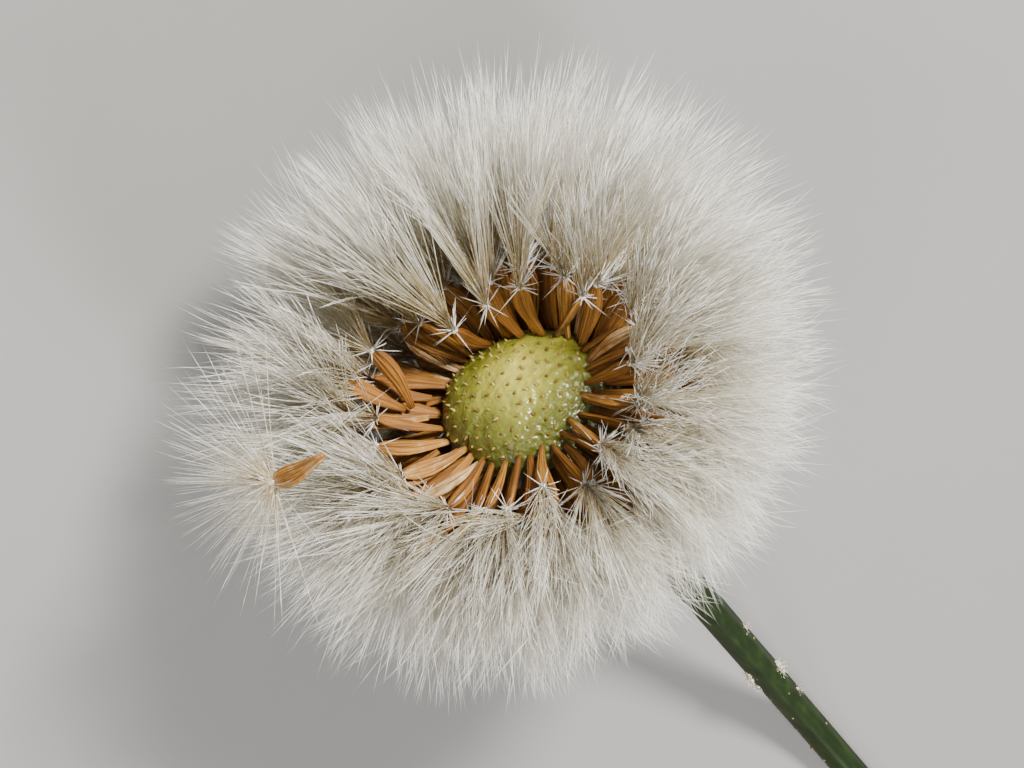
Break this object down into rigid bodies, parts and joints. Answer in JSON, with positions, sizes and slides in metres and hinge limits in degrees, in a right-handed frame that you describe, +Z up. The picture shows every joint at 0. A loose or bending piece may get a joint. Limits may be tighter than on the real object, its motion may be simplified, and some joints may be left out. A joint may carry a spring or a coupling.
{
  "type": "sow thistle seed head",
  "caption": "Dandelion-like seed head of a sow thistle, partly shed: a bare green cushion ringed by ribbed seeds inside a ball of silky hair, on a cut stem.",
  "frame": {"origin": "middle of the bounding box, at the table that the head and the stem rest on", "axes": "+Z up, +Y along the stem away from the head, +X to the right of someone looking along +Y; the head's face looks towards -Y and 18 degrees up"},
  "size_m": [0.0277, 0.0663, 0.0262],
  "materials": {
    "stem": "satin",
    "bracts": "matte",
    "cushion": "satin",
    "seeds": "matte",
    "hair": "satin"
  },
  "bodies": {
    "root": {"stem": "stem", "involucre": "bracts", "receptacle": "cushion", "achenes": "seeds", "pappus": "hair", "loose_achene": "seeds"}
  },
  "joints": []
}
